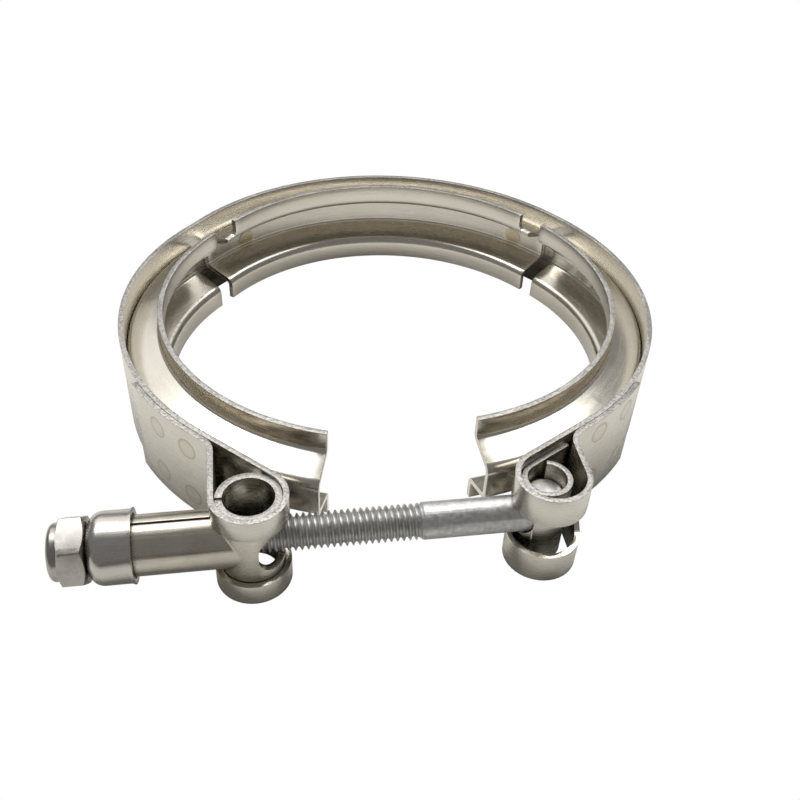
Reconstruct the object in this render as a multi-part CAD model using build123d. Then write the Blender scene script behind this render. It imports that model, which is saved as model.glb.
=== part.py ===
from build123d import *
from math import asin, atan2, cos, degrees, hypot, radians, sin, sqrt, tan
import os

os.makedirs("parts", exist_ok=True)

# V band clamp with a T-bolt and a lock nut.
# Millimetres, +Z up. The origin lies on the axis of the clamped pipe joint, at mid-height of
# the V groove. +Y points to the middle of the back, the closing bolt runs along X at the front.

# Band strip
BAND_SHEET = 0.9
BAND_HEIGHT = 18.2
BAND_Z = -1.4              # mid-height of the band and of the bolt, below the groove's mid-plane
BACK_RADIUS = 48.4         # outer face round the back
SIDE_STEP = 1.4            # the sides are bent this much tighter than the back
BACK_ANGLE = 90.0          # polar angle of the back's middle
LEFT_GAP_ANGLE = 53.1      # from there to the middle of each bare gap
RIGHT_GAP_ANGLE = 57.3
GAP_LENGTH = 3.3           # bare band between two retainers
LEFT_SPREAD_ANGLE = 6.8    # how far each side arm stands open
RIGHT_SPREAD_ANGLE = 2.5
RETURN_ANGLE = 90.0        # the strip leaves its loop straight to the back
FOOT_RADIUS = 4.0          # bend where the strip lands on the band again, mid-sheet
LEFT_TAB_LENGTH = 19.0     # from the foot to the strip's end
RIGHT_TAB_LENGTH = 17.5
TAB_SEAM = 0.08            # dry seam between tab and band
WELD_RADIUS = 2.3          # spot welds of the tabs
WELD_HEIGHT = 4.3          # each above and below the band's mid-height
WELD_FROM_END = 4.5
WELD_PITCH = 8.5

# Loops and their slots
LEFT_SLOT_HEIGHT = 10.4
LEFT_SLOT_LEAD = 8.0       # slot's start on the inner run, before the loop
LEFT_SLOT_PAST = 6.1       # slot's end on the returning run, past the loop's centre
RIGHT_SLOT_HEIGHT = 7.2
RIGHT_SLOT_LEAD = 1.6
RIGHT_SLOT_PAST = 0.6
SLOT_CORNER = 2.6

# V retainers
RETAINER_SHEET = 1.0
RETAINER_SEAT = 0.02       # stand-off to the band
TROUGH_HEIGHT = 7.2
LEG_DEPTH = 6.2            # mid-sheet, trough to lip
LIP_BASE_HEIGHT = 11.0     # over both legs at the lips
RETAINER_HEIGHT = 17.9
RETAINER_BEND = 1.3
LEFT_RETAINER_ANGLE = 113.8
RIGHT_RETAINER_ANGLE = 115.5
LIP_NOTCH_WIDTH = 2.5
LIP_NOTCH_HEIGHT = 3.4
LIP_NOTCH_CORNER = 1.2

# Bolt line
BOLT_STAND_OFF = 4.86      # bolt's axis in front of the sides' outer radius
LEFT_PIVOT_X = -29.7
RIGHT_PIVOT_X = 16.6
BOLT_DIAMETER = 6.0
THREAD_DIAMETER = 5.85
THREAD_END_X = -4.5
RUNOUT_LENGTH = 1.6
BOLT_TIP_GAP = 0.15        # the tip stops just short of the nylon ring
BOLT_TIP_CHAMFER = 0.8
HEAD_DIAMETER = 6.1
HEAD_HEIGHT = 9.2
HEAD_CHAMFER = 0.4

# Trunnion, one folded sheet
TRUNNION_SHEET = 1.1
BARREL_DIAMETER = 10.1
BARREL_HEIGHT = 17.2
BARREL_LOOP_GAP = 0.1
SLEEVE_DIAMETER = 9.4
SLEEVE_BLEND = 0.75
SLEEVE_SLIT = 0.5
SLEEVE_RIM = 1.0           # chamfer that keeps the sleeve's end off the cup's rounding
BARREL_HOLE_HEIGHT = 7.0
BARREL_HOLE_CORNER = 2.8
BARREL_HOLE_START_ANGLE = -80.0
BARREL_HOLE_END_ANGLE = 57.0

# Head liner, one rolled sheet
LINER_SHEET = 0.85
LINER_BORE = 6.3
LINER_HEIGHT = 15.0
LINER_SEAT = 0.05
LINER_TIP_GAP = 0.2        # leaf's end to the returning run
LINER_SEAM = 0.15
LINER_HOLE_DIAMETER = 6.7

# End cup
CUP_SHEET = 0.6
CUP_DIAMETER = 11.3
CUP_LENGTH = 6.8
CUP_DOME = 2.4             # rounding of the closed end
CUP_LIP_FLARE = 0.25
CUP_LIP_LENGTH = 0.6
CUP_SEAT = 0.25            # closed end to the sleeve's end
CUP_BORE_GAP = 0.25
CUP_END_X = -54.0

# Lock nut with its nylon ring
NUT_ACROSS_FLATS = 10.0
NUT_HEX_LENGTH = 3.9
NUT_COLLAR_LENGTH = 1.6
NUT_COLLAR_DIAMETER = 8.9
NUT_COLLAR_ROUND = 0.9
NUT_SEAT = 0.05
NUT_CHAMFER_ANGLE = 30.0
NUT_TURN_ANGLE = 14.0      # how far the nut stands turned from a corner at its top
THREAD_GAP = 0.05
RING_LENGTH = 1.3
RING_BORE = 5.4
RING_SHELF = 0.4           # rolled edge that holds the ring
RING_WALL = 0.7            # collar's wall round the ring
RING_PLAY = 0.01

# Cutters run this far past the face that they cut.
OVERRUN = 1.0
LOOP_STEPS = 8             # rounds that settle the right loop's centre

# Derived sizes
SIDE_RADIUS = BACK_RADIUS - SIDE_STEP
BOLT_Y = -(SIDE_RADIUS + BOLT_STAND_OFF)
HALF_SHEET = BAND_SHEET / 2
GAP_ARC = degrees(GAP_LENGTH / BACK_RADIUS)
BACK_START = BACK_ANGLE - RIGHT_GAP_ANGLE + GAP_ARC / 2
BACK_SWEEP = LEFT_GAP_ANGLE + RIGHT_GAP_ANGLE - GAP_ARC
LOOP_RADIUS = BARREL_DIAMETER / 2 + BARREL_LOOP_GAP + HALF_SHEET
LINER_EYE_RADIUS = (LINER_BORE + LINER_SHEET) / 2
LINER_OFFSET = HALF_SHEET + LINER_SEAT + LINER_SHEET / 2


def at_angle(angle, length=1.0):
    return Vector(length * cos(radians(angle)), length * sin(radians(angle)))


def bend(start, heading, length, sweep):
    # A sheet bend of a given developed length, straight when it turns by nothing.
    if abs(sweep) < 0.01:
        return Line(start, start + at_angle(heading, length))
    return JernArc(start, at_angle(heading), length / radians(abs(sweep)), sweep)


def sheet_solid(edges, sheet, height, z_mid):
    # A strip of sheet standing on edge along a path in plan.
    face = trace(edges, sheet)
    return extrude(face, amount=height / 2, both=True).moved(Location((0, 0, z_mid)))


def slot_cutter(edges, height, z_mid):
    # A cutter that follows the strip, with all four corners of the slot rounded.
    width = 4 * BAND_SHEET
    solid = sheet_solid(edges, width, height, z_mid)
    across = [
        edge
        for edge in solid.edges().filter_by(GeomType.LINE)
        if abs(edge.length - width) < 0.01 and abs((edge @ 1 - edge @ 0).Z) < 0.01
    ]
    return fillet([e for e in across if at_either_end(e, edges)], SLOT_CORNER)


def at_either_end(edge, path):
    middle = edge @ 0.5
    ends = (path[0] @ 0, path[-1] @ 1)
    return any(hypot(middle.X - end.X, middle.Y - end.Y) < 0.01 for end in ends)


# One arm of the band in left-hand form: gap, side arc, run, loop, return, foot and tab.
class Arm:
    def __init__(self, gap, spread, loop_centre, tab_length):
        start_angle = gap - GAP_ARC / 2
        start = at_angle(BACK_ANGLE + start_angle, BACK_RADIUS - HALF_SHEET)
        heading = BACK_ANGLE + start_angle + 90
        self.gap = bend(start, heading, GAP_LENGTH, GAP_ARC - spread)
        heading += GAP_ARC - spread
        side = SIDE_RADIUS - HALF_SHEET
        self.start_polar = heading - 90
        self.centre = self.gap @ 1 + at_angle(heading + 90, side)

        # The straight run is the inner tangent of the side arc and the loop.
        reach = loop_centre - self.centre
        distance = hypot(reach.X, reach.Y)
        base = degrees(atan2(reach.Y, reach.X)) % 360
        run = base + degrees(asin((side + LOOP_RADIUS) / distance))
        self.run_heading = run
        leave = self.centre - at_angle(run + 90, side)
        reach_loop = loop_centre + at_angle(run + 90, LOOP_RADIUS)
        self.side = JernArc(self.gap @ 1, at_angle(heading), side, run - heading)
        self.run = Line(leave, reach_loop)
        self.loop = JernArc(reach_loop, at_angle(run), LOOP_RADIUS, RETURN_ANGLE - run)
        back = self.loop @ 1

        # The foot turns away from the loop, then the tab lies on the run and the side arc.
        stand_off = BAND_SHEET + TAB_SEAM
        tab_leave = leave - at_angle(run + 90, stand_off)
        slope = radians(run)
        meet_y = tab_leave.Y + (back.X - tab_leave.X) * sin(slope) / cos(slope)
        turn = run - 180 - RETURN_ANGLE
        trim = FOOT_RADIUS * sin(radians(turn / 2)) / cos(radians(turn / 2))
        self.back = Line(back, (back.X, meet_y - trim))
        self.foot = JernArc(self.back @ 1, at_angle(RETURN_ANGLE), FOOT_RADIUS, turn)
        self.landing = Line(self.foot @ 1, tab_leave)
        self.tab_radius = side + stand_off
        self.tab_arc = degrees((tab_length - self.landing.length) / self.tab_radius)
        self.tab_polar = run - 90
        self.tab = JernArc(tab_leave, at_angle(run - 180), self.tab_radius, -self.tab_arc)

    def strip(self):
        ring = [self.gap, self.side, self.run]
        hook = [self.loop, self.back, self.foot, self.landing, self.tab]
        return sheet_solid(ring + hook, BAND_SHEET, BAND_HEIGHT, BAND_Z)

    def slot(self, height, lead, past):
        start = self.run @ 1 - at_angle(self.run_heading, lead)
        end = self.loop @ 1 + Vector(0, past)
        edges = [Line(start, self.run @ 1), self.loop, Line(self.loop @ 1, end)]
        return slot_cutter(edges, height, BAND_Z)

    def weld_places(self):
        # Middle of each spot weld, in the seam under the tab.
        inset = BAND_SHEET / 2 + TAB_SEAM / 2
        for distance in (WELD_FROM_END, WELD_FROM_END + WELD_PITCH):
            polar = self.tab_polar - self.tab_arc + degrees(distance / self.tab_radius)
            place = self.centre + at_angle(polar, self.tab_radius - inset)
            past = radians(polar - self.tab_polar) * self.tab_radius
            if past > 0:
                polar = self.tab_polar
                start = self.centre + at_angle(polar, self.tab_radius - inset)
                place = start + at_angle(self.run_heading, past)
            for z in (-WELD_HEIGHT, WELD_HEIGHT):
                yield Plane((place.X, place.Y, BAND_Z + z), z_dir=at_angle(polar))

    def welds(self):
        return [place * Cylinder(WELD_RADIUS, BAND_SHEET) for place in self.weld_places()]


def left_loop_centre():
    return Vector(LEFT_PIVOT_X, BOLT_Y)


def right_loop_centre():
    # Left-hand form. The liner's eye presses into the run's side of the loop, so the loop's
    # centre stands off the pin's axis by what the eye leaves free.
    pin = Vector(-RIGHT_PIVOT_X, BOLT_Y)
    slack = LOOP_RADIUS - LINER_EYE_RADIUS - LINER_OFFSET
    centre = pin
    for _ in range(LOOP_STEPS):
        arm = Arm(RIGHT_GAP_ANGLE, RIGHT_SPREAD_ANGLE, centre, RIGHT_TAB_LENGTH)
        centre = pin - at_angle(arm.run_heading + 90, slack)
    return centre


left_arm = Arm(LEFT_GAP_ANGLE, LEFT_SPREAD_ANGLE, left_loop_centre(), LEFT_TAB_LENGTH)
right_arm = Arm(RIGHT_GAP_ANGLE, RIGHT_SPREAD_ANGLE, right_loop_centre(), RIGHT_TAB_LENGTH)


def outer_band():
    left = left_arm.strip() - left_arm.slot(LEFT_SLOT_HEIGHT, LEFT_SLOT_LEAD, LEFT_SLOT_PAST)
    right = right_arm.strip() - right_arm.slot(
        RIGHT_SLOT_HEIGHT, RIGHT_SLOT_LEAD, RIGHT_SLOT_PAST
    )
    left += left_arm.welds()
    right += right_arm.welds()
    arc = CenterArc((0, 0), BACK_RADIUS - HALF_SHEET, BACK_START, BACK_SWEEP)
    back = sheet_solid([arc], BAND_SHEET, BAND_HEIGHT, BAND_Z)
    return left + back + mirror(right, about=Plane.YZ)


# Retainers: one bent section turned round the axis of its arc.
def retainer_section(outer_radius):
    trough = outer_radius - BAND_SHEET - RETAINER_SEAT - RETAINER_SHEET / 2
    lip = trough - LEG_DEPTH
    trough_z = (TROUGH_HEIGHT - RETAINER_SHEET) / 2
    lip_z = (LIP_BASE_HEIGHT - RETAINER_SHEET) / 2
    half = [(trough, 0), (trough, trough_z), (lip, lip_z), (lip, RETAINER_HEIGHT / 2)]
    points = [(x, -z) for x, z in reversed(half[1:])] + half[1:]
    line = FilletPolyline(*points, radius=RETAINER_BEND)
    return Plane.XZ * trace(line, RETAINER_SHEET)


def retainer(outer_radius, start, sweep, centre=Vector(0, 0)):
    section = retainer_section(outer_radius)
    body = revolve(section, axis=Axis.Z, revolution_arc=sweep)
    return body.rotate(Axis.Z, start).moved(Location(centre))


def lip_notch(radius, polar, side):
    # Cutter for the top lip's corner at one end of a retainer, rounded at its inner corner.
    depth = 3 * RETAINER_SHEET
    block = Box(depth, 2 * LIP_NOTCH_WIDTH, 2 * LIP_NOTCH_HEIGHT)
    corner = block.edges().filter_by(Axis.X).sort_by(Axis.Z)[:2].sort_by(Axis.Y)
    block = fillet(corner[-1 if side > 0 else 0], LIP_NOTCH_CORNER)
    lip = radius - BAND_SHEET - RETAINER_SHEET / 2 - LEG_DEPTH
    return block.moved(Location((lip, 0, RETAINER_HEIGHT / 2))).rotate(Axis.Z, polar)


def retainer_back():
    body = retainer(BACK_RADIUS, BACK_START, BACK_SWEEP)
    body -= lip_notch(BACK_RADIUS, BACK_START, 1)
    return body - lip_notch(BACK_RADIUS, BACK_START + BACK_SWEEP, -1)


def retainer_side(arm, sweep):
    return retainer(SIDE_RADIUS, arm.start_polar, sweep, arm.centre)


# A round bar along X between two stations of the bolt line.
def bolt_bar(x_from, x_to, radius, radius_to=None):
    plane = Plane((x_from, BOLT_Y, BAND_Z), x_dir=(0, 1, 0), z_dir=(1, 0, 0))
    length = x_to - x_from
    end = radius if radius_to is None else radius_to
    align = (Align.CENTER, Align.CENTER, Align.MIN)
    if abs(end - radius) < 0.001:
        return plane * Cylinder(radius, length, align=align)
    return plane * Cone(radius, end, length, align=align)


def upright(x, radius, height):
    return Location((x, BOLT_Y, BAND_Z)) * Cylinder(radius, height)


def t_bolt():
    thread = THREAD_DIAMETER / 2
    shank = BOLT_DIAMETER / 2
    tip = ring_span()[1] + BOLT_TIP_GAP
    thread_from = tip + BOLT_TIP_CHAMFER
    body = bolt_bar(tip, thread_from, thread - BOLT_TIP_CHAMFER, thread)
    body += bolt_bar(thread_from, THREAD_END_X, thread)
    body += bolt_bar(THREAD_END_X, THREAD_END_X + RUNOUT_LENGTH, thread, shank)
    body += bolt_bar(THREAD_END_X + RUNOUT_LENGTH, RIGHT_PIVOT_X, shank)
    head = upright(RIGHT_PIVOT_X, HEAD_DIAMETER / 2, HEAD_HEIGHT)
    head = chamfer(head.edges().filter_by(GeomType.CIRCLE), HEAD_CHAMFER)
    return body + head


# Trunnion: barrel and sleeve from one folded sheet, open along its seams.
def barrel_hole():
    middle = (BARREL_DIAMETER - TRUNNION_SHEET) / 2
    width = 2 * TRUNNION_SHEET
    sweep = BARREL_HOLE_END_ANGLE - BARREL_HOLE_START_ANGLE
    arc = CenterArc((0, 0), middle, BARREL_HOLE_START_ANGLE, sweep)
    solid = sheet_solid([arc], width, BARREL_HOLE_HEIGHT, 0)
    across = [e for e in solid.edges().filter_by(GeomType.LINE) if abs(e.length - width) < 0.01]
    solid = fillet(across, BARREL_HOLE_CORNER)
    return solid.moved(Location((LEFT_PIVOT_X, BOLT_Y, BAND_Z)))


def sleeve_end_x():
    return CUP_END_X + CUP_SHEET + CUP_SEAT


def trunnion_sleeve():
    barrel = upright(LEFT_PIVOT_X, BARREL_DIAMETER / 2, BARREL_HEIGHT)
    sleeve = bolt_bar(sleeve_end_x(), LEFT_PIVOT_X, SLEEVE_DIAMETER / 2)
    rim = sleeve.edges().filter_by(GeomType.CIRCLE).sort_by(Axis.X)[0]
    sleeve = chamfer(rim, SLEEVE_RIM)
    body = barrel + sleeve
    seam = [
        edge
        for edge in body.edges()
        if edge.geom_type not in (GeomType.CIRCLE, GeomType.LINE)
    ]
    body = fillet(seam, SLEEVE_BLEND)
    bore = BARREL_DIAMETER / 2 - TRUNNION_SHEET
    body -= upright(LEFT_PIVOT_X, bore, BARREL_HEIGHT)
    body -= bolt_bar(sleeve_end_x(), LEFT_PIVOT_X, SLEEVE_DIAMETER / 2 - TRUNNION_SHEET)
    body -= barrel_hole()
    slit_length = LEFT_PIVOT_X - bore / 2 - sleeve_end_x()
    slit_middle = sleeve_end_x() + slit_length / 2
    slit = Box(slit_length, SLEEVE_SLIT, BARREL_HEIGHT)
    return body - slit.moved(Location((slit_middle, BOLT_Y, BAND_Z)))


# Head liner: a leaf on the inner run, then an eye round the bolt's head.
def leaf_length(touch):
    # As far as the returning run lets it.
    wall = right_arm.back.start_point().X + HALF_SHEET + LINER_TIP_GAP
    heading = radians(right_arm.run_heading)
    corner = touch.X + LINER_SHEET / 2 * sin(heading)
    return (corner - wall) / cos(heading)


def head_liner():
    heading = right_arm.run_heading
    pin = Vector(-RIGHT_PIVOT_X, BOLT_Y)
    touch = pin + at_angle(heading + 90, LINER_EYE_RADIUS)
    open_arc = degrees(2 * asin(sqrt((LINER_SHEET + LINER_SEAM) / (2 * LINER_EYE_RADIUS))))
    leaf = Line(touch - at_angle(heading, leaf_length(touch)), touch)
    eye = JernArc(touch, at_angle(heading), LINER_EYE_RADIUS, open_arc - 360)
    body = sheet_solid([leaf, eye], LINER_SHEET, LINER_HEIGHT, BAND_Z)
    body = mirror(body, about=Plane.YZ)
    reach = RIGHT_PIVOT_X - 2 * LINER_BORE
    return body - bolt_bar(reach, RIGHT_PIVOT_X, LINER_HOLE_DIAMETER / 2)


def end_cup():
    outer = CUP_DIAMETER / 2
    body = bolt_bar(CUP_END_X, CUP_END_X + CUP_LENGTH, outer)
    closed = body.edges().filter_by(GeomType.CIRCLE).sort_by(Axis.X)[0]
    body = fillet(closed, CUP_DOME)
    mouth = CUP_END_X + CUP_LENGTH
    body += bolt_bar(mouth - CUP_LIP_LENGTH, mouth, outer, outer + CUP_LIP_FLARE)
    inside = bolt_bar(CUP_END_X + CUP_SHEET, mouth, outer - CUP_SHEET)
    inner_edge = inside.edges().filter_by(GeomType.CIRCLE).sort_by(Axis.X)[0]
    inside = fillet(inner_edge, CUP_DOME - CUP_SHEET)
    return body - inside - bolt_bar(CUP_END_X, mouth, BOLT_DIAMETER / 2 + CUP_BORE_GAP)


def nut_blank():
    turn = radians(NUT_TURN_ANGLE)
    origin = (CUP_END_X - NUT_SEAT, BOLT_Y, BAND_Z)
    plane = Plane(origin, x_dir=(0, sin(turn), cos(turn)), z_dir=(-1, 0, 0))
    flats = NUT_ACROSS_FLATS / 2
    corner = flats / cos(radians(30))
    hexagon = extrude(plane * RegularPolygon(corner, 6), amount=NUT_HEX_LENGTH)
    rise = (corner - flats) * tan(radians(NUT_CHAMFER_ANGLE))
    low, high = CUP_END_X - NUT_SEAT - NUT_HEX_LENGTH, CUP_END_X - NUT_SEAT
    cone = bolt_bar(low, low + rise, flats, corner)
    cone += bolt_bar(low + rise, high - rise, corner)
    cone += bolt_bar(high - rise, high, corner, flats)
    return hexagon & cone


def lock_nut():
    face = CUP_END_X - NUT_SEAT
    top = face - NUT_HEX_LENGTH
    collar = bolt_bar(top - NUT_COLLAR_LENGTH, top + OVERRUN, NUT_COLLAR_DIAMETER / 2)
    rim = collar.edges().filter_by(GeomType.CIRCLE).sort_by(Axis.X)[0]
    collar = fillet(rim, NUT_COLLAR_ROUND)
    body = nut_blank() + collar
    body -= bolt_bar(top - NUT_COLLAR_LENGTH, face, THREAD_DIAMETER / 2 + THREAD_GAP)
    ring = ring_span()
    return body - bolt_bar(ring[0], ring[1], ring_radius())


def ring_span():
    top = CUP_END_X - NUT_SEAT - NUT_HEX_LENGTH
    end = top - NUT_COLLAR_LENGTH + RING_SHELF
    return end, end + RING_LENGTH


def ring_radius():
    return NUT_COLLAR_DIAMETER / 2 - RING_WALL


def nylon_insert():
    start, end = ring_span()
    ring = bolt_bar(start, end, ring_radius() - RING_PLAY)
    return ring - bolt_bar(start, end, RING_BORE / 2)


pieces = {
    "outer_band": outer_band(),
    "retainer_back": retainer_back(),
    "retainer_left": retainer_side(left_arm, LEFT_RETAINER_ANGLE),
    "retainer_right": mirror(retainer_side(right_arm, RIGHT_RETAINER_ANGLE), about=Plane.YZ),
    "trunnion_sleeve": trunnion_sleeve(),
    "end_cup": end_cup(),
    "lock_nut": lock_nut(),
    "nylon_insert": nylon_insert(),
    "t_bolt": t_bolt(),
    "head_liner": head_liner(),
}
for name, shape in pieces.items():
    export_step(shape, "parts/" + name + ".step")
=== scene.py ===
"""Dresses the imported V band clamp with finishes, its rolled thread and spot welds, in a plain studio."""

import logging
import math
from dataclasses import dataclass, replace
from enum import Enum
from typing import Any, Iterable

import bmesh
import bpy
from mathutils import Matrix, Vector


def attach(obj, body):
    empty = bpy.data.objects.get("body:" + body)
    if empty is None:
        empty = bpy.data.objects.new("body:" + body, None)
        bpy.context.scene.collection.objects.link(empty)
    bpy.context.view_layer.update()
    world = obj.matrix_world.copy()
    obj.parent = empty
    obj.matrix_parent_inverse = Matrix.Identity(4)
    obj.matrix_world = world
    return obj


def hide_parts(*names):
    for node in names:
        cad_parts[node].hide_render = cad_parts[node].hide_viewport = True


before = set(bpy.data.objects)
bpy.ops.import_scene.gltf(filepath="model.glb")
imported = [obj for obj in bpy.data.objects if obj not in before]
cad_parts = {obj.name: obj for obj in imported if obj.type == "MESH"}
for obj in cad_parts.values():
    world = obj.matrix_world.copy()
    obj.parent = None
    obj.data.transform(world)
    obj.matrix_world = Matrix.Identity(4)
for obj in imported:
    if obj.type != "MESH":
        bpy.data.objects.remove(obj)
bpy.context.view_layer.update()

MM = 0.001
LOG = logging.getLogger("v_band_clamp")

# Packed vertices closer than this are one vertex, and flatter facets are merged.
SAME_VERTEX_MM = 0.0005
FLAT_DEG = 0.15
# Above this angle between its faces an edge counts as sharp.
SHARP_DEG = 38.0

# The sheared edges of the sheets: tones of the torn metal, its gloss, grain and depth.
TORN_DARK = "807D79"
TORN_LIGHT = "AEABA6"
TORN_ROUGHNESS = 0.5
TORN_GRAIN_MM = 0.38
TORN_DEPTH_MM = 0.07
TORN_SPAN = (0.36, 0.62)

# Noise of the metals: octaves, the span of the lay marks that is used, and the pits of a plating.
MOTTLE_OCTAVES = 4.0
LAY_OCTAVES = 5.0
SPECK_OCTAVES = 3.0
LAY_SPAN = (0.3, 0.7)
LAY_BUMP = 0.6
PITS_PER_METRE = 1800.0

# The dish under a welding electrode: where its wall stands as a share of the radius, and its depth.
DISH_WALL = (0.75, 1.0)
DISH_DEPTH_MM = 0.06
DISH_BUMP = 0.5

# Sockets of a Mix node that are for colours.
FIRST_COLOUR, SECOND_COLOUR, MIXED_COLOUR = 6, 7, 2


# Colour and node helpers


def linear(code: str) -> tuple[float, float, float, float]:
    """Turn an sRGB hex colour into the linear RGBA that Blender works in.

    Args:
        code: The colour as six hex digits.

    Returns:
        Linear red, green, blue and an alpha of 1.
    """
    channels = [int(code[i : i + 2], 16) / 255 for i in (0, 2, 4)]
    bright = [c / 12.92 if c <= 0.04045 else ((c + 0.055) / 1.055) ** 2.4 for c in channels]
    return bright[0], bright[1], bright[2], 1.0


def add_node(
    tree: bpy.types.NodeTree,
    kind: str,
    settings: dict[str, Any] | None = None,
    inputs: dict[Any, Any] | None = None,
) -> bpy.types.Node:
    """Add a node, set its properties and fill or link its inputs.

    Args:
        tree: The tree that gets the node.
        kind: The node's bl_idname.
        settings: Property names and values.
        inputs: Input names or indices, with a value or an output socket to link from.

    Returns:
        The new node.
    """
    node = tree.nodes.new(kind)
    for name, value in (settings or {}).items():
        setattr(node, name, value)
    for key, value in (inputs or {}).items():
        if isinstance(value, bpy.types.NodeSocket):
            tree.links.new(value, node.inputs[key])
        else:
            node.inputs[key].default_value = value
    return node


def noise(
    tree: bpy.types.NodeTree, place: bpy.types.NodeSocket, scale: float, octaves: float
) -> bpy.types.NodeSocket:
    """Add a noise texture.

    Args:
        tree: The tree.
        place: The coordinates that it reads.
        scale: Waves per unit of those coordinates.
        octaves: How many finer layers it has.

    Returns:
        A value near 0.5.
    """
    inputs = {"Vector": place, "Scale": scale, "Detail": octaves}
    return add_node(tree, "ShaderNodeTexNoise", inputs=inputs).outputs["Fac"]


def remap(
    tree: bpy.types.NodeTree,
    value: bpy.types.NodeSocket,
    start: tuple[Any, Any],
    end: tuple[Any, Any] = (0.0, 1.0),
    eased: bool = False,
) -> bpy.types.NodeSocket:
    """Carry a value from one span to another.

    Args:
        tree: The tree.
        value: The value.
        start: The span that it comes from, numbers or sockets.
        end: The span that it goes to.
        eased: Whether the change eases in and out.

    Returns:
        The new value.
    """
    settings = {"interpolation_type": "SMOOTHSTEP"} if eased else None
    inputs = {"Value": value, "From Min": start[0], "From Max": start[1]}
    inputs |= {"To Min": end[0], "To Max": end[1]}
    return add_node(tree, "ShaderNodeMapRange", settings, inputs).outputs["Result"]


def blend(
    tree: bpy.types.NodeTree, share: bpy.types.NodeSocket, first: Any, second: Any
) -> bpy.types.NodeSocket:
    """Blend two colours.

    Args:
        tree: The tree.
        share: 0 for the first colour, 1 for the second.
        first: A linear colour or a socket.
        second: A linear colour or a socket.

    Returns:
        The blended colour.
    """
    inputs = {"Factor": share, FIRST_COLOUR: first, SECOND_COLOUR: second}
    return add_node(tree, "ShaderNodeMix", {"data_type": "RGBA"}, inputs).outputs[MIXED_COLOUR]


def split(tree: bpy.types.NodeTree, vector: bpy.types.NodeSocket) -> Any:
    """Split a vector.

    Args:
        tree: The tree.
        vector: The vector.

    Returns:
        The outputs X, Y and Z.
    """
    return add_node(tree, "ShaderNodeSeparateXYZ", inputs={0: vector}).outputs


class Lay(Enum):
    """Which way the fine marks of a finish run: how much finer they are along X, Y and Z."""

    ROUND_THE_RING = (0.04, 0.04, 1.0)
    ALONG_THE_BOLT = (0.05, 1.0, 1.0)
    NONE = (1.0, 1.0, 1.0)


class WeldLook(Enum):
    """How an electrode mark shows: each stop is a share of the radius and the tint there."""

    RING = ((0.0, 0.1), (0.7, 0.12), (0.86, 0.5), (0.93, 0.5), (1.0, 0.0))
    STAINED = ((0.0, 0.42), (0.5, 0.55), (0.8, 0.3), (0.93, 0.12), (1.0, 0.0))


@dataclass(frozen=True)
class SpotWeld:
    """One electrode mark: a faint dished ring or stain with a straw-coloured heat tint."""

    centre_mm: tuple[float, float, float]
    radius_mm: float = 2.1
    look: WeldLook = WeldLook.RING
    tint: str = "8C7A5A"


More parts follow.
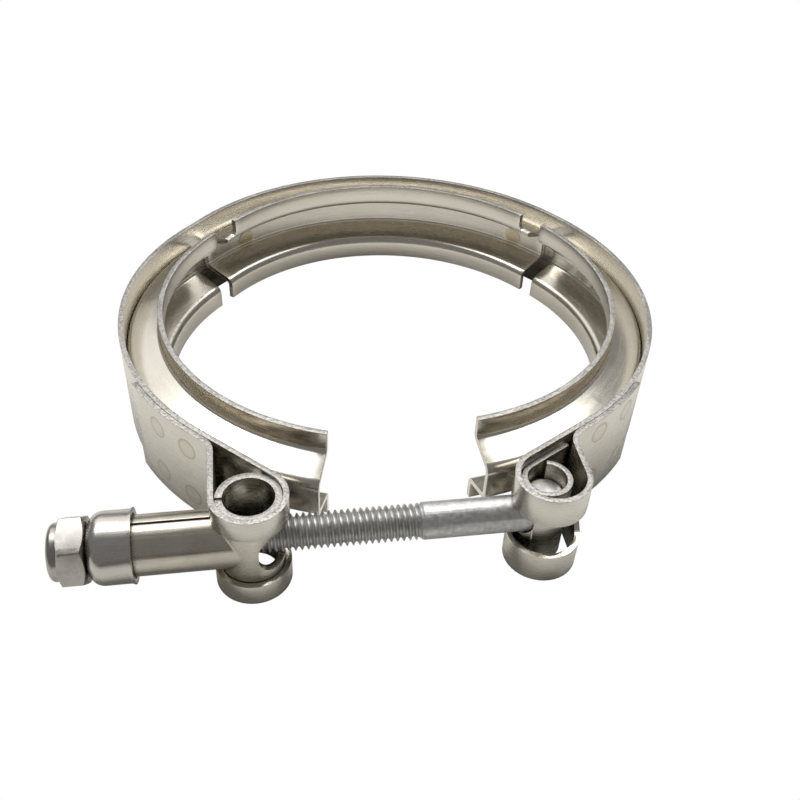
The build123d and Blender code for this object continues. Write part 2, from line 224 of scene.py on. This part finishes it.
@dataclass(frozen=True)
class MetalFinish:
    """A metal surface: its colours, gloss, fine lay marks, mottling and heat marks."""

    name: str
    colour: str
    shade: str
    roughness: float
    roughness_spread: float
    lay: Lay = Lay.NONE
    lay_pitch_mm: float = 0.35
    mottle_mm: float = 6.0
    bump_mm: float = 0.004
    pits: float = 0.0
    welds: tuple[SpotWeld, ...] = ()
    cut_edges_mm: tuple[float, ...] = ()

    def material(self) -> bpy.types.Material:
        """Build the node material.

        Returns:
            The material, ready to assign.
        """
        material = bpy.data.materials.new(self.name)
        material.use_nodes = True
        tree = material.node_tree
        shader = tree.nodes["Principled BSDF"]
        place = add_node(tree, "ShaderNodeTexCoord").outputs["Object"]
        mottle = noise(tree, place, 1 / (self.mottle_mm * MM), MOTTLE_OCTAVES)
        lay = self.lay_marks(tree, place)
        rolled = blend(tree, mottle, linear(self.shade), linear(self.colour))
        edge, grain = self.sheared(tree, place)
        torn = blend(tree, grain, linear(TORN_DARK), linear(TORN_LIGHT))
        colour = blend(tree, edge, self.heat_tint(tree, place, rolled), torn)
        glossy, dull = self.roughness - self.roughness_spread, self.roughness + self.roughness_spread
        spread = remap(tree, lay, LAY_SPAN, (glossy, dull))
        gloss = add_node(tree, "ShaderNodeMix", inputs={"Factor": edge, "A": spread, "B": TORN_ROUGHNESS})
        lay_bump = {"Strength": LAY_BUMP, "Distance": self.bump_mm * MM, "Height": lay}
        normal = add_node(tree, "ShaderNodeBump", inputs=lay_bump).outputs["Normal"]
        if self.pits:
            normal = self.pitted(tree, place, normal)
        normal = self.dished(tree, place, normal)
        shader.inputs["Metallic"].default_value = 1.0
        tree.links.new(colour, shader.inputs["Base Color"])
        tree.links.new(gloss.outputs[0], shader.inputs["Roughness"])
        tree.links.new(normal, shader.inputs["Normal"])
        return material

    def sheared(
        self, tree: bpy.types.NodeTree, place: bpy.types.NodeSocket
    ) -> tuple[bpy.types.NodeSocket, bpy.types.NodeSocket]:
        """Where the sheet was cut to width: edges that are torn and greyer than its rolled faces.

        Args:
            tree: The material's tree.
            place: Object coordinates in metres.

        Returns:
            A mask that is 1 on the cut edges, and the grain of the torn metal.
        """
        height = split(tree, place)["Z"]
        mask = add_node(tree, "ShaderNodeValue").outputs[0]
        mask.default_value = 0.0
        for level in self.cut_edges_mm:
            near = {0: height, 1: level * MM, 2: TORN_DEPTH_MM * MM}
            at_level = add_node(tree, "ShaderNodeMath", {"operation": "COMPARE"}, near).outputs[0]
            either = {0: mask, 1: at_level}
            mask = add_node(tree, "ShaderNodeMath", {"operation": "MAXIMUM"}, either).outputs[0]
        speck = noise(tree, place, 1 / (TORN_GRAIN_MM * MM), SPECK_OCTAVES)
        return mask, remap(tree, speck, TORN_SPAN)

    def lay_marks(self, tree: bpy.types.NodeTree, place: bpy.types.NodeSocket) -> bpy.types.NodeSocket:
        """Fine lines that follow how the metal was rolled or drawn.

        Args:
            tree: The material's tree.
            place: Object coordinates in metres.

        Returns:
            A value near 0.5 that changes across the lines.
        """
        fine = 1 / (self.lay_pitch_mm * MM)
        scale = tuple(fine * share for share in self.lay.value)
        scaled = add_node(tree, "ShaderNodeMapping", inputs={"Vector": place, "Scale": scale}).outputs[0]
        return noise(tree, scaled, 1.0, LAY_OCTAVES)

    def pitted(
        self, tree: bpy.types.NodeTree, place: bpy.types.NodeSocket, normal: bpy.types.NodeSocket
    ) -> bpy.types.NodeSocket:
        """Shallow grainy pits, as plating leaves on a rolled bar.

        Args:
            tree: The material's tree.
            place: Object coordinates in metres.
            normal: The normal that the pits are added to.

        Returns:
            The new normal.
        """
        grain = noise(tree, place, PITS_PER_METRE, SPECK_OCTAVES)
        pits = {"Strength": 1.0, "Distance": self.pits * MM, "Height": grain, "Normal": normal}
        return add_node(tree, "ShaderNodeBump", inputs=pits).outputs["Normal"]

    def distances(
        self, tree: bpy.types.NodeTree, place: bpy.types.NodeSocket
    ) -> Iterable[tuple[SpotWeld, bpy.types.NodeSocket]]:
        """Distance to each weld as a share of its radius.

        Args:
            tree: The material's tree.
            place: Object coordinates in metres.

        Yields:
            Each weld with its distance socket.
        """
        for weld in self.welds:
            centre = tuple(c * MM for c in weld.centre_mm)
            gap = add_node(
                tree, "ShaderNodeVectorMath", {"operation": "DISTANCE"}, {0: place, 1: centre}
            ).outputs["Value"]
            share = add_node(
                tree, "ShaderNodeMath", {"operation": "DIVIDE"}, {0: gap, 1: weld.radius_mm * MM}
            ).outputs[0]
            yield weld, share

    def heat_tint(
        self, tree: bpy.types.NodeTree, place: bpy.types.NodeSocket, colour: bpy.types.NodeSocket
    ) -> bpy.types.NodeSocket:
        """Straw and grey rings round each spot weld.

        Args:
            tree: The material's tree.
            place: Object coordinates in metres.
            colour: The metal's own colour.

        Returns:
            The tinted colour.
        """
        for weld, share in self.distances(tree, place):
            ring = add_node(tree, "ShaderNodeValToRGB", inputs={"Fac": share})
            ramp = ring.color_ramp
            while len(ramp.elements) < len(weld.look.value):
                ramp.elements.new(0.5)
            for element, (position, value) in zip(ramp.elements, weld.look.value):
                element.position = position
                element.color = (value,) * 3 + (1.0,)
            colour = blend(tree, ring.outputs["Color"], colour, linear(weld.tint))
        return colour

    def dished(
        self, tree: bpy.types.NodeTree, place: bpy.types.NodeSocket, normal: bpy.types.NodeSocket
    ) -> bpy.types.NodeSocket:
        """The shallow dish that each welding electrode presses in.

        Args:
            tree: The material's tree.
            place: Object coordinates in metres.
            normal: The normal that the dishes are added to.

        Returns:
            The new normal.
        """
        for _, share in self.distances(tree, place):
            wall = remap(tree, share, DISH_WALL, eased=True)
            dish = {"Strength": DISH_BUMP, "Distance": DISH_DEPTH_MM * MM, "Height": wall, "Normal": normal}
            normal = add_node(tree, "ShaderNodeBump", inputs=dish).outputs["Normal"]
        return normal


@dataclass(frozen=True)
class NylonFinish:
    """Moulded nylon: milky, slightly waxy."""

    name: str = "moulded nylon"
    colour: str = "D8D6CC"
    shade: str = "CBC8BC"
    clouds_per_metre: float = 900.0
    octaves: float = 2.0
    roughness: float = 0.42
    ior: float = 1.53

    def material(self) -> bpy.types.Material:
        """Build the node material.

        Returns:
            The material, ready to assign.
        """
        material = bpy.data.materials.new(self.name)
        material.use_nodes = True
        tree = material.node_tree
        shader = tree.nodes["Principled BSDF"]
        place = add_node(tree, "ShaderNodeTexCoord").outputs["Object"]
        cloud = noise(tree, place, self.clouds_per_metre, self.octaves)
        milky = blend(tree, cloud, linear(self.shade), linear(self.colour))
        tree.links.new(milky, shader.inputs["Base Color"])
        shader.inputs["Roughness"].default_value = self.roughness
        shader.inputs["IOR"].default_value = self.ior
        return material


# Mesh helpers


def object_from(name: str, mesh: bpy.types.Mesh) -> bpy.types.Object:
    """Link a mesh into the scene as an object at the origin.

    Args:
        name: The object's name.
        mesh: Its mesh.

    Returns:
        The new object.
    """
    piece = bpy.data.objects.new(name, mesh)
    bpy.context.scene.collection.objects.link(piece)
    return piece


def finished_mesh(piece: bpy.types.Object, name: str) -> bpy.types.Object:
    """Apply all modifiers of a piece by turning its evaluated form into a plain mesh.

    Args:
        piece: The object with live modifiers; it is removed.
        name: The finished object's name.

    Returns:
        The finished object.
    """
    graph = bpy.context.evaluated_depsgraph_get()
    mesh = bpy.data.meshes.new_from_object(piece.evaluated_get(graph), depsgraph=graph)
    bpy.data.objects.remove(piece)
    mesh.name = name
    return object_from(name, mesh)


def deburred_copy(node: str, bevel_mm: float) -> bpy.types.Object:
    """Copy a CAD node, weld its loose triangles and break its sharp edges.

    Args:
        node: The CAD node.
        bevel_mm: Width of the broken edge.

    Returns:
        The finished copy.
    """
    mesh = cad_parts[node].data.copy()
    work = bmesh.new()
    work.from_mesh(mesh)
    bmesh.ops.remove_doubles(work, verts=work.verts, dist=SAME_VERTEX_MM * MM)
    bmesh.ops.dissolve_limit(
        work,
        angle_limit=math.radians(FLAT_DEG),
        verts=work.verts,
        edges=work.edges,
        use_dissolve_boundaries=False,
    )
    for face in work.faces:
        face.smooth = True
    work.to_mesh(mesh)
    work.free()
    piece = object_from(node + "_work", mesh)
    bevel = piece.modifiers.new("broken_edges", "BEVEL")
    bevel.width = bevel_mm * MM
    bevel.segments = 2
    bevel.limit_method = "ANGLE"
    bevel.angle_limit = math.radians(SHARP_DEG)
    bevel.use_clamp_overlap = True
    bevel.harden_normals = False
    piece = finished_mesh(piece, node + "_dressed")
    piece.data.materials.clear()
    piece.data.set_sharp_from_angle(angle=math.radians(SHARP_DEG))
    return piece


def mesh_of(work: bmesh.types.BMesh, name: str) -> bpy.types.Object:
    """Write a BMesh out as a smooth-shaded object and free it.

    Args:
        work: The BMesh; it is freed.
        name: The object's name.

    Returns:
        The new object.
    """
    mesh = bpy.data.meshes.new(name)
    for face in work.faces:
        face.smooth = True
    work.to_mesh(mesh)
    work.free()
    return object_from(name, mesh)


def cut_off(piece: bpy.types.Object, x_mm: float) -> None:
    """Cut away what lies before a station of the bolt line and close the cut.

    Args:
        piece: The piece, changed in place.
        x_mm: The station.
    """
    work = bmesh.new()
    work.from_mesh(piece.data)
    bmesh.ops.bisect_plane(
        work,
        geom=work.verts[:] + work.edges[:] + work.faces[:],
        plane_co=(x_mm * MM, 0.0, 0.0),
        plane_no=(1.0, 0.0, 0.0),
        clear_inner=True,
    )
    bmesh.ops.holes_fill(work, edges=[edge for edge in work.edges if edge.is_boundary])
    work.to_mesh(piece.data)
    work.free()


def joined(name: str, *pieces: bpy.types.Object) -> bpy.types.Object:
    """Join pieces into one object.

    Args:
        name: The new object's name.
        pieces: The pieces; they are removed.

    Returns:
        The joined object.
    """
    work = bmesh.new()
    for piece in pieces:
        work.from_mesh(piece.data)
        bpy.data.objects.remove(piece)
    return mesh_of(work, name)


def seat(
    piece: bpy.types.Object, material: bpy.types.Material, body: str, slot: str, *nodes: str
) -> None:
    """Give a piece its finish and let it stand for its CAD nodes.

    Args:
        piece: The finished piece.
        material: Its finish.
        body: The CAD body that it rides on.
        slot: A material slot name; it is not used.
        nodes: The CAD nodes that it replaces.
    """
    piece.data.materials.clear()
    piece.data.materials.append(material)
    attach(piece, body)
    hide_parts(*nodes)
    LOG.info("%s: %d faces on %s", piece.name, len(piece.data.polygons), body)


# Finishes

ROLLED_STRIP = MetalFinish(
    # Cold-rolled stainless strip: warm grey, satin, faint lines round the ring.
    name="cold-rolled stainless strip",
    colour="D2CEC4",
    shade="C4BFB4",
    roughness=0.26,
    roughness_spread=0.05,
    lay=Lay.ROUND_THE_RING,
    lay_pitch_mm=0.3,
    bump_mm=0.0015,
    welds=(
        SpotWeld((-44.2, -30.7, 3.6)),
        SpotWeld((-44.2, -30.7, -6.3)),
        SpotWeld((-39.3, -36.7, 3.7)),
        SpotWeld((-39.2, -36.8, -6.8)),
        SpotWeld((29.0, -40.9, 4.6)),
        SpotWeld((29.0, -40.9, -6.2)),
        SpotWeld((35.4, -35.7, 4.6)),
        SpotWeld((35.4, -35.7, -6.2)),
        SpotWeld((-36.0, 31.0, -5.4), 3.4, WeldLook.STAINED, "6E5640"),
        SpotWeld((39.5, 26.4, -5.4), 3.4, WeldLook.STAINED, "6E5640"),
    ),
    cut_edges_mm=(7.7, -10.5),
)
ROLLED_LINER = replace(
    # The same strip, cut narrower and rolled round the bolt's head.
    ROLLED_STRIP,
    name="rolled stainless liner",
    welds=(),
    cut_edges_mm=(6.1, -8.9),
)
PRESSED_CHANNEL = MetalFinish(
    # Stainless sheet pressed to a V channel: the press smears the rolled lines to a soft satin.
    name="pressed stainless channel",
    colour="D1CCC2",
    shade="C2BCB0",
    roughness=0.25,
    roughness_spread=0.04,
    lay=Lay.ROUND_THE_RING,
    lay_pitch_mm=0.35,
    bump_mm=0.0015,
    mottle_mm=9.0,
    welds=(
        SpotWeld((-27.8, 37.3, -1.4), 2.3, WeldLook.STAINED, "A98F4E"),
        SpotWeld((33.0, 32.7, -1.0), 2.3, WeldLook.STAINED, "A98F4E"),
    ),
    cut_edges_mm=(8.95, -8.95),
)
ROLLED_TRUNNION = MetalFinish(
    # Stainless sheet rolled into a barrel and sleeve: drawn marks run along the sleeve.
    name="roll-formed stainless trunnion",
    colour="CDC8BC",
    shade="ADA799",
    roughness=0.28,
    roughness_spread=0.07,
    lay=Lay.ALONG_THE_BOLT,
    lay_pitch_mm=0.45,
    mottle_mm=3.0,
    cut_edges_mm=(7.2, -10.0),
)
DRAWN_CUP = MetalFinish(
    # Deep-drawn stainless cup: bright, drawn marks along its wall.
    name="deep-drawn stainless cup",
    colour="CCC8C2",
    shade="B5B0A8",
    roughness=0.27,
    roughness_spread=0.06,
    lay=Lay.ALONG_THE_BOLT,
    lay_pitch_mm=0.5,
    mottle_mm=4.0,
)
ZINC_BAR = MetalFinish(
    # Bright zinc on a cold-headed bar: cool light grey, dull sparkle, finely pitted.
    name="bright zinc plated steel",
    colour="DEDEDC",
    shade="94928F",
    roughness=0.48,
    roughness_spread=0.1,
    lay=Lay.NONE,
    lay_pitch_mm=0.7,
    mottle_mm=0.9,
    bump_mm=0.03,
    pits=0.035,
)
TURNED_NUT = MetalFinish(
    # Cold-forged, machined and tumbled nut: satin with soft mottling.
    name="tumbled stainless nut",
    colour="BAB6B1",
    shade="918D88",
    roughness=0.3,
    roughness_spread=0.06,
    lay=Lay.NONE,
    lay_pitch_mm=0.8,
    mottle_mm=2.5,
)


# Sub-assemblies


@dataclass
class ClampRing:
    """The band with its loops, the three V retainers and the liner in the right loop."""

    body: str = "band"
    edge_mm: float = 0.08
    retainer_edge_mm: float = 0.09

    def build(self) -> None:
        """Dress every piece of the ring."""
        strip = ROLLED_STRIP.material()
        channel = PRESSED_CHANNEL.material()
        band = deburred_copy("outer_band", self.edge_mm)
        seat(band, strip, self.body, "stainless_strip", "outer_band")
        for node in ("retainer_back", "retainer_left", "retainer_right"):
            piece = deburred_copy(node, self.retainer_edge_mm)
            seat(piece, channel, self.body, "stainless_pressing", node)
        liner = deburred_copy("head_liner", self.edge_mm)
        seat(liner, ROLLED_LINER.material(), self.body, "stainless_strip", "head_liner")


@dataclass
class Trunnion:
    """The folded barrel and sleeve, with its drawn end cup."""

    edge_mm: float = 0.12

    def build(self) -> None:
        """Dress the trunnion and its cup."""
        sleeve = deburred_copy("trunnion_sleeve", self.edge_mm)
        seat(sleeve, ROLLED_TRUNNION.material(), "trunnion", "stainless_rolled", "trunnion_sleeve")
        cup = deburred_copy("end_cup", self.edge_mm)
        seat(cup, DRAWN_CUP.material(), "cup", "stainless_drawn", "end_cup")


@dataclass
class LockNut:
    """The hexagon nut with its rounded collar and nylon ring."""

    edge_mm: float = 0.15

    def build(self) -> None:
        """Dress the nut and its ring."""
        nut = deburred_copy("lock_nut", self.edge_mm)
        seat(nut, TURNED_NUT.material(), "nut", "stainless_turned", "lock_nut")
        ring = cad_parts["nylon_insert"]
        ring.data.materials.clear()
        ring.data.materials.append(NylonFinish().material())


@dataclass(frozen=True)
class ThreadTree:
    """A Geometry Nodes tree that winds a thread: one turn, repeated along the bolt's axis.

    The profile's span gives where the flank between root and crest starts and ends, as shares of
    half the pitch.
    """

    name: str = "wound_thread"
    profile_span: tuple[float, float] = (0.25, 0.875)
    merge_mm: float = 0.001
    inputs: tuple[tuple[str, str], ...] = (
        ("Pitch", "NodeSocketFloat"),
        ("Radius", "NodeSocketFloat"),
        ("Depth", "NodeSocketFloat"),
        ("Tip Radius", "NodeSocketFloat"),
        ("Shank Radius", "NodeSocketFloat"),
        ("Start", "NodeSocketFloat"),
        ("End", "NodeSocketFloat"),
        ("Run-out", "NodeSocketFloat"),
        ("Axis", "NodeSocketVector"),
        ("Sides", "NodeSocketInt"),
        ("Steps", "NodeSocketInt"),
        ("Turns", "NodeSocketInt"),
        ("Material", "NodeSocketMaterial"),
    )

    def build(self) -> bpy.types.NodeTree:
        """Make the tree.

        Returns:
            The node group.
        """
        tree = bpy.data.node_groups.new(self.name, "GeometryNodeTree")
        for name, kind in self.inputs:
            tree.interface.new_socket(name=name, in_out="INPUT", socket_type=kind)
        tree.interface.new_socket(name="Geometry", in_out="OUTPUT", socket_type="NodeSocketGeometry")
        given = tree.nodes.new("NodeGroupInput").outputs
        wound = self.wind(tree, given, self.turns(tree, given))
        parts = [wound, self.cap(tree, given, "Start", "Tip Radius", -90.0)]
        parts.append(self.cap(tree, given, "End", "Shank Radius", 90.0))
        together = tree.nodes.new("GeometryNodeJoinGeometry")
        for part in parts:
            tree.links.new(part, together.inputs[0])
        whole = together.outputs[0]
        near = {"Geometry": whole, "Distance": self.merge_mm * MM}
        merged = add_node(tree, "GeometryNodeMergeByDistance", inputs=near)
        real = add_node(tree, "GeometryNodeRealizeInstances", inputs={"Geometry": merged.outputs[0]})
        inputs = {"Geometry": real.outputs[0], "Material": given["Material"]}
        painted = add_node(tree, "GeometryNodeSetMaterial", inputs=inputs)
        add_node(tree, "NodeGroupOutput", inputs={"Geometry": painted.outputs[0]})
        return tree

    def value(self, tree: bpy.types.NodeTree, kind: str, *terms: Any) -> bpy.types.NodeSocket:
        """Add a math node.

        Args:
            tree: The tree.
            kind: The operation.
            terms: Its inputs, numbers or sockets.

        Returns:
            The result.
        """
        return add_node(tree, "ShaderNodeMath", {"operation": kind}, dict(enumerate(terms))).outputs[0]

    def turns(self, tree: bpy.types.NodeTree, given: Any) -> bpy.types.NodeSocket:
        """One turn rolled out flat (axial place, angle, share of the profile), repeated by the pitch.

        Args:
            tree: The tree.
            given: The group's inputs.

        Returns:
            The flat strips as one geometry.
        """
        count_x = self.value(tree, "ADD", given["Sides"], 1.0)
        count_y = self.value(tree, "ADD", given["Steps"], 1.0)
        sizes = {"Size X": 1.0, "Size Y": 1.0, "Vertices X": count_x, "Vertices Y": count_y}
        grid = add_node(tree, "GeometryNodeMeshGrid", inputs=sizes)
        flat = split(tree, add_node(tree, "GeometryNodeInputPosition").outputs[0])
        around = self.value(tree, "ADD", flat["X"], 0.5)
        across = self.value(tree, "ADD", flat["Y"], 0.5)
        lead = self.value(tree, "SUBTRACT", self.value(tree, "ADD", around, across), 1.0)
        axial = self.value(tree, "MULTIPLY", lead, given["Pitch"])
        angle = self.value(tree, "MULTIPLY", around, math.tau)
        place = add_node(tree, "ShaderNodeCombineXYZ", inputs={0: axial, 1: angle, 2: across}).outputs[0]
        moved = {"Geometry": grid.outputs[0], "Position": place}
        turn = add_node(tree, "GeometryNodeSetPosition", inputs=moved)
        step = add_node(tree, "ShaderNodeCombineXYZ", inputs={0: given["Pitch"]}).outputs[0]
        stations = {"Count": given["Turns"], "Offset": step}
        line = add_node(tree, "GeometryNodeMeshLine", {"mode": "OFFSET"}, stations)
        inputs = {"Points": line.outputs[0], "Instance": turn.outputs[0]}
        row = add_node(tree, "GeometryNodeInstanceOnPoints", inputs=inputs)
        real = add_node(tree, "GeometryNodeRealizeInstances", inputs={"Geometry": row.outputs[0]})
        return real.outputs[0]

    def wind(
        self, tree: bpy.types.NodeTree, given: Any, strips: bpy.types.NodeSocket
    ) -> bpy.types.NodeSocket:
        """Wind the flat strips round the axis, with a chamfered tip and a run-out into the shank.

        Args:
            tree: The tree.
            given: The group's inputs.
            strips: The flat strips.

        Returns:
            The wound thread, open at both ends.
        """
        flat = split(tree, add_node(tree, "GeometryNodeInputPosition").outputs[0])
        ahead = self.value(tree, "ADD", flat["X"], given["Start"])
        behind_tip = self.value(tree, "MAXIMUM", ahead, given["Start"])
        axial = self.value(tree, "MINIMUM", behind_tip, given["End"])
        double = self.value(tree, "MULTIPLY", flat["Z"], 2.0)
        share = self.value(tree, "ABSOLUTE", self.value(tree, "SUBTRACT", double, 1.0))
        cut = remap(tree, share, self.profile_span, (given["Depth"], 0.0))
        radius = self.value(tree, "SUBTRACT", given["Radius"], cut)
        into = self.value(tree, "SUBTRACT", axial, given["Start"])
        chamfer = self.value(tree, "ADD", given["Tip Radius"], into)
        radius = self.value(tree, "MINIMUM", radius, chamfer)
        fade = self.value(tree, "SUBTRACT", given["End"], given["Run-out"])
        root = self.value(tree, "SUBTRACT", given["Radius"], given["Depth"])
        runout = remap(tree, axial, (fade, given["End"]), (root, given["Shank Radius"]))
        radius = self.value(tree, "MAXIMUM", radius, runout)
        side = self.value(tree, "MULTIPLY", radius, self.value(tree, "COSINE", flat["Y"]))
        rise = self.value(tree, "MULTIPLY", radius, self.value(tree, "SINE", flat["Y"]))
        spot = add_node(tree, "ShaderNodeCombineXYZ", inputs={0: axial, 1: side, 2: rise}).outputs[0]
        inputs = {"Geometry": strips, "Position": self.on_axis(tree, given, spot)}
        return add_node(tree, "GeometryNodeSetPosition", inputs=inputs).outputs[0]

    def on_axis(
        self, tree: bpy.types.NodeTree, given: Any, spot: bpy.types.NodeSocket
    ) -> bpy.types.NodeSocket:
        """Move a place from the X axis to the bolt's axis.

        Args:
            tree: The tree.
            given: The group's inputs.
            spot: The place.

        Returns:
            The moved place.
        """
        terms = {0: spot, 1: given["Axis"]}
        return add_node(tree, "ShaderNodeVectorMath", {"operation": "ADD"}, terms).outputs[0]

    def cap(
        self, tree: bpy.types.NodeTree, given: Any, station: str, radius: str, turn_deg: float
    ) -> bpy.types.NodeSocket:
        """A disc that closes one end.

        Args:
            tree: The tree.
            given: The group's inputs.
            station: The input with the disc's place along the axis.
            radius: The input with its radius.
            turn_deg: Turn about Y that points it outward.

        Returns:
            The disc.
        """
        inputs = {"Vertices": given["Sides"], "Radius": given[radius]}
        disc = add_node(tree, "GeometryNodeMeshCircle", {"fill_type": "NGON"}, inputs).outputs[0]
        along = add_node(tree, "ShaderNodeCombineXYZ", inputs={0: given[station]}).outputs[0]
        turned = {"Geometry": disc, "Translation": self.on_axis(tree, given, along)}
        turned["Rotation"] = (0.0, math.radians(turn_deg), 0.0)
        return add_node(tree, "GeometryNodeTransform", inputs=turned).outputs[0]


@dataclass
class TBolt:
    """The T-headed bolt: rolled thread, run-out, plain shank and upright head."""

    centre_y_mm: float = -51.86
    centre_z_mm: float = -1.4
    shank_diameter_mm: float = 6.0
    thread_diameter_mm: float = 5.85
    tip_diameter_mm: float = 4.25
    pitch_mm: float = 1.0
    depth_mm: float = 0.61
    tip_x_mm: float = -57.7
    shank_x_mm: float = -2.85
    runout_mm: float = 1.1
    sides: int = 64
    steps: int = 12
    edge_mm: float = 0.1

    def build(self) -> None:
        """Wind the thread, set it on the CAD shank and dress the bolt."""
        zinc = ZINC_BAR.material()
        shank = deburred_copy("t_bolt", self.edge_mm)
        cut_off(shank, self.shank_x_mm)
        piece = joined("t_bolt_dressed", self.thread(zinc), shank)
        piece.data.set_sharp_from_angle(angle=math.radians(SHARP_DEG))
        seat(piece, zinc, "bolt", "zinc_plated_steel", "t_bolt")

    def thread(self, material: bpy.types.Material) -> bpy.types.Object:
        """Wind the thread with Geometry Nodes and turn it into a plain mesh.

        Args:
            material: The bolt's finish.

        Returns:
            The thread, closed at both ends.
        """
        lengths = {
            "Pitch": self.pitch_mm,
            "Radius": self.thread_diameter_mm / 2,
            "Depth": self.depth_mm,
            "Tip Radius": self.tip_diameter_mm / 2,
            "Shank Radius": self.shank_diameter_mm / 2,
            "Start": self.tip_x_mm,
            "End": self.shank_x_mm,
            "Run-out": self.runout_mm,
        }
        values: dict[str, Any] = {name: length * MM for name, length in lengths.items()}
        values["Axis"] = (0.0, self.centre_y_mm * MM, self.centre_z_mm * MM)
        values["Sides"], values["Steps"] = self.sides, self.steps
        values["Turns"] = math.ceil((self.shank_x_mm - self.tip_x_mm) / self.pitch_mm) + 2
        values["Material"] = material
        tree = ThreadTree().build()
        holder = object_from("thread_work", bpy.data.meshes.new("thread_work"))
        modifier = holder.modifiers.new("thread", "NODES")
        modifier.node_group = tree
        for item in tree.interface.items_tree:
            if item.item_type == "SOCKET" and item.in_out == "INPUT":
                modifier[item.identifier] = values[item.name]
        return finished_mesh(holder, "thread")


@dataclass(frozen=True)
class Softbox:
    """A rectangular soft lamp aimed at the object: its place, its length along X and depth, its power."""

    name: str
    place_mm: tuple[float, float, float]
    size_mm: tuple[float, float]
    watts: float

    def build(self) -> None:
        """Add the lamp."""
        data = bpy.data.lights.new(self.name, "AREA")
        data.shape = "RECTANGLE"
        data.size, data.size_y = self.size_mm[0] * MM, self.size_mm[1] * MM
        data.energy = self.watts
        lamp = bpy.data.objects.new(self.name, data)
        bpy.context.scene.collection.objects.link(lamp)
        lamp.location = Vector(self.place_mm) * MM
        lamp.rotation_euler = (-lamp.location).to_track_quat("-Z", "Y").to_euler()


@dataclass
class Studio:
    """A white floor, soft lamps and the camera at the photograph's angle."""

    lamps: tuple[Softbox, ...] = (
        Softbox("overhead_softbox", (0.0, 130.0, 425.0), (700.0, 190.0), 2.2),
        Softbox("back_softbox", (0.0, 386.0, 348.0), (800.0, 340.0), 1.0),
    )

    floor_z_mm: float = -10.5
    floor_reach_m: float = 3.0
    paper_y_mm: float = -104.0
    paper_colour: str = "F2F1EE"
    paper_roughness: float = 0.9
    table_y_mm: float = -112.0
    table_colour: str = "4A3B30"
    room_strength: float = 0.24
    target_mm: tuple[float, float, float] = (2.44, 0.0, -20.27)
    distance_mm: float = 201.36
    azimuth_deg: float = -11.01
    elevation_deg: float = 40.01
    roll_deg: float = 3.33
    focal_px: float = 942.04
    frame_px: int = 800
    sensor_mm: float = 36.0
    clip_m: tuple[float, float] = (0.01, 20.0)

    def build(self) -> None:
        """Make the floor, the lamps, the world and the camera."""
        self.floor()
        for lamp in self.lamps:
            lamp.build()
        self.world()
        self.camera()
        bpy.context.scene.view_settings.view_transform = "Standard"

    def floor(self) -> None:
        """White paper that ends in front of the clamp, on a brown table; the camera sees plain white."""
        mesh = bpy.data.meshes.new("floor")
        half, level = self.floor_reach_m, self.floor_z_mm * MM
        corners = [(-half, -half, level), (half, -half, level), (half, half, level), (-half, half, level)]
        mesh.from_pydata(corners, [], [(0, 1, 2, 3)])
        floor = object_from("floor", mesh)
        material = bpy.data.materials.new("white paper floor")
        material.use_nodes = True
        tree = material.node_tree
        paper = tree.nodes["Principled BSDF"]
        place = add_node(tree, "ShaderNodeTexCoord").outputs["Object"]
        edge = (self.table_y_mm * MM, self.paper_y_mm * MM)
        share = remap(tree, split(tree, place)["Y"], edge, eased=True)
        tone = blend(tree, share, linear(self.table_colour), linear(self.paper_colour))
        tree.links.new(tone, paper.inputs["Base Color"])
        paper.inputs["Roughness"].default_value = self.paper_roughness
        paper.inputs["Specular IOR Level"].default_value = 0.0
        glow = {"Color": linear("FFFFFF"), "Strength": 1.0}
        plain = add_node(tree, "ShaderNodeEmission", inputs=glow)
        ray = add_node(tree, "ShaderNodeLightPath").outputs["Is Camera Ray"]
        either = {0: ray, 1: paper.outputs[0], 2: plain.outputs[0]}
        mixed = add_node(tree, "ShaderNodeMixShader", inputs=either).outputs[0]
        tree.links.new(mixed, tree.nodes["Material Output"].inputs["Surface"])
        floor.data.materials.append(material)

    def world(self) -> None:
        """A grey room that the camera sees as white."""
        world = bpy.data.worlds.new("studio")
        bpy.context.scene.world = world
        world.use_nodes = True
        tree = world.node_tree
        ray = add_node(tree, "ShaderNodeLightPath")
        strength = remap(tree, ray.outputs["Is Camera Ray"], (0.0, 1.0), (self.room_strength, 1.0))
        background = tree.nodes["Background"]
        background.inputs["Color"].default_value = linear("FFFFFF")
        tree.links.new(strength, background.inputs["Strength"])

    def camera(self) -> None:
        """Place the camera from the fitted angles, distance and focal length."""
        azimuth, elevation = math.radians(self.azimuth_deg), math.radians(self.elevation_deg)
        outward = Vector(
            (
                math.sin(azimuth) * math.cos(elevation),
                -math.cos(azimuth) * math.cos(elevation),
                math.sin(elevation),
            )
        )
        right = (-outward).cross(Vector((0, 0, 1))).normalized()
        up = right.cross(-outward)
        roll = math.radians(self.roll_deg)
        turned_right = right * math.cos(roll) + up * math.sin(roll)
        turned_up = up * math.cos(roll) - right * math.sin(roll)
        data = bpy.data.cameras.new("camera")
        data.sensor_width = self.sensor_mm
        data.lens = self.focal_px / self.frame_px * self.sensor_mm
        data.clip_start, data.clip_end = self.clip_m
        camera = bpy.data.objects.new("camera", data)
        bpy.context.scene.collection.objects.link(camera)
        axes = Matrix((turned_right, turned_up, outward)).transposed().to_4x4()
        place = (Vector(self.target_mm) + outward * self.distance_mm) * MM
        camera.matrix_world = Matrix.Translation(place) @ axes
        bpy.context.scene.camera = camera


def main() -> None:
    """Build and dress each sub-assembly, then the studio."""
    logging.basicConfig(level=logging.INFO, format="%(name)s %(message)s")
    for assembly in (ClampRing(), Trunnion(), LockNut(), TBolt()):
        assembly.build()
        LOG.info("%s done", type(assembly).__name__)
    Studio().build()
    bpy.context.view_layer.update()


if __name__ == "__main__":
    main()
